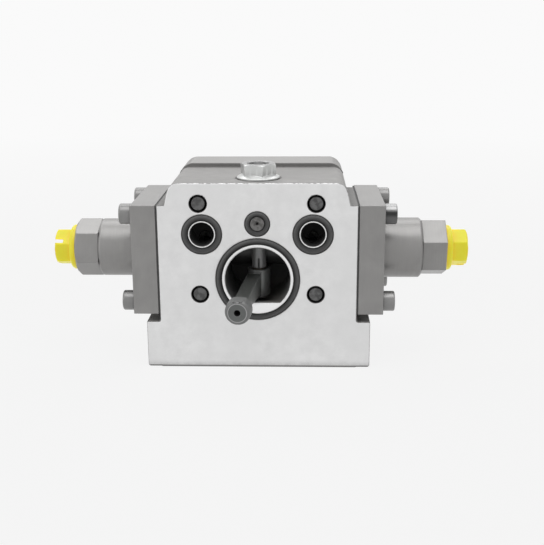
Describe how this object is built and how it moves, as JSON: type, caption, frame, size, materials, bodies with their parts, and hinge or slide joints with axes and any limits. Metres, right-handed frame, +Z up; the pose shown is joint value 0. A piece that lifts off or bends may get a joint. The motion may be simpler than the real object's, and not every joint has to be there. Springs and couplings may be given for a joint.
{
  "type": "hydraulic control valve",
  "caption": "Pilot operated displacement control valve that bolts to a pump by its machined front face, with a swinging feedback lever, side covers and plugged pilot ports.",
  "frame": {"origin": "centre of the lever's round opening, on the machined mounting face", "axes": "+X towards the right pilot port as seen in the picture, +Y from the mounting face into the body, +Z up"},
  "size_m": [0.2142, 0.1251, 0.1026],
  "materials": {
    "casting": "fine cast skin with machined faces",
    "cover_steel": "machined, softly brushed",
    "turned_steel": "turned and milled, satin",
    "screw_steel": "hardened steel, phosphated",
    "lever_steel": "machined and heat treated, satin",
    "spring_steel": "drawn wire, oiled",
    "zinc": "bright zinc plating",
    "seal_rubber": "matt black elastomer",
    "gasket_sheet": "pressed fibre sheet",
    "yellow_plastic": "moulded, softly glossy",
    "orifice_brass": "turned"
  },
  "bodies": {
    "housing": {"valve_body": "casting", "orifice_insert": "turned_steel", "opening_o_ring": "seal_rubber", "supply_o_ring": "seal_rubber", "left_servo_o_ring": "seal_rubber", "left_cover": "cover_steel", "left_cover_gasket": "gasket_sheet", "left_cover_screws": "screw_steel", "left_port_adapter": "turned_steel", "left_adapter_seal": "seal_rubber", "left_damping_orifice": "orifice_brass", "left_centring_spring": "spring_steel", "right_servo_o_ring": "seal_rubber", "right_cover": "cover_steel", "right_cover_gasket": "gasket_sheet", "right_cover_screws": "screw_steel", "right_port_adapter": "turned_steel", "right_adapter_seal": "seal_rubber", "right_damping_orifice": "orifice_brass", "right_centring_spring": "spring_steel"},
    "spool": {"control_spool": "turned_steel", "left_spring_seat": "turned_steel", "right_spring_seat": "turned_steel"},
    "sleeve": {"feedback_sleeve": "turned_steel"},
    "lever": {"feedback_lever": "lever_steel", "lever_bush": "orifice_brass", "drive_pin": "turned_steel"},
    "adjuster": {"adjusting_screw": "screw_steel", "adjuster_seal": "seal_rubber", "retaining_ring": "spring_steel"},
    "nut": {"lock_nut": "zinc"},
    "left_plug": {"left_port_plug": "yellow_plastic"},
    "right_plug": {"right_port_plug": "yellow_plastic"},
    "screws": {"mounting_screws": "screw_steel"}
  },
  "joints": [
    {"name": "spool_slide", "type": "slide", "parent": "housing", "child": "spool", "axis": [1, 0, 0], "range_m": [-0.003, 0.003], "stiffness_N_per_m": 9500, "deforming": ["left_centring_spring", "right_centring_spring"]},
    {"name": "lever_swing", "type": "hinge", "parent": "housing", "child": "lever", "pos_m": [0, 0.0168, 0], "axis": [0, 0, 1], "range_deg": [-9.7, 20.3]},
    {"name": "sleeve_slide", "type": "slide", "parent": "housing", "child": "sleeve", "axis": [1, 0, 0], "range_m": [-0.0045, 0.0022]},
    {"name": "adjuster_turn", "type": "hinge", "parent": "housing", "child": "adjuster", "pos_m": [0, 0.0165, 0], "axis": [0, 0, 1], "range_deg": [-15, 15]},
    {"name": "lock_nut_turn", "type": "hinge", "parent": "housing", "child": "nut", "pos_m": [0, 0.0165, 0], "axis": [0, 0, 1], "range_deg": [0, 180]},
    {"name": "left_plug_out", "type": "slide", "parent": "housing", "child": "left_plug", "axis": [-1, 0, 0], "range_m": [0, 0.012]},
    {"name": "right_plug_out", "type": "slide", "parent": "housing", "child": "right_plug", "axis": [1, 0, 0], "range_m": [0, 0.012]},
    {"name": "mounting_screws_in", "type": "slide", "parent": "housing", "child": "screws", "axis": [0, -1, 0], "range_m": [0, 0.0133]}
  ],
  "couplings": [
    {"joint": "sleeve_slide", "follows": "lever_swing", "m_per_rad": -0.012326}
  ]
}
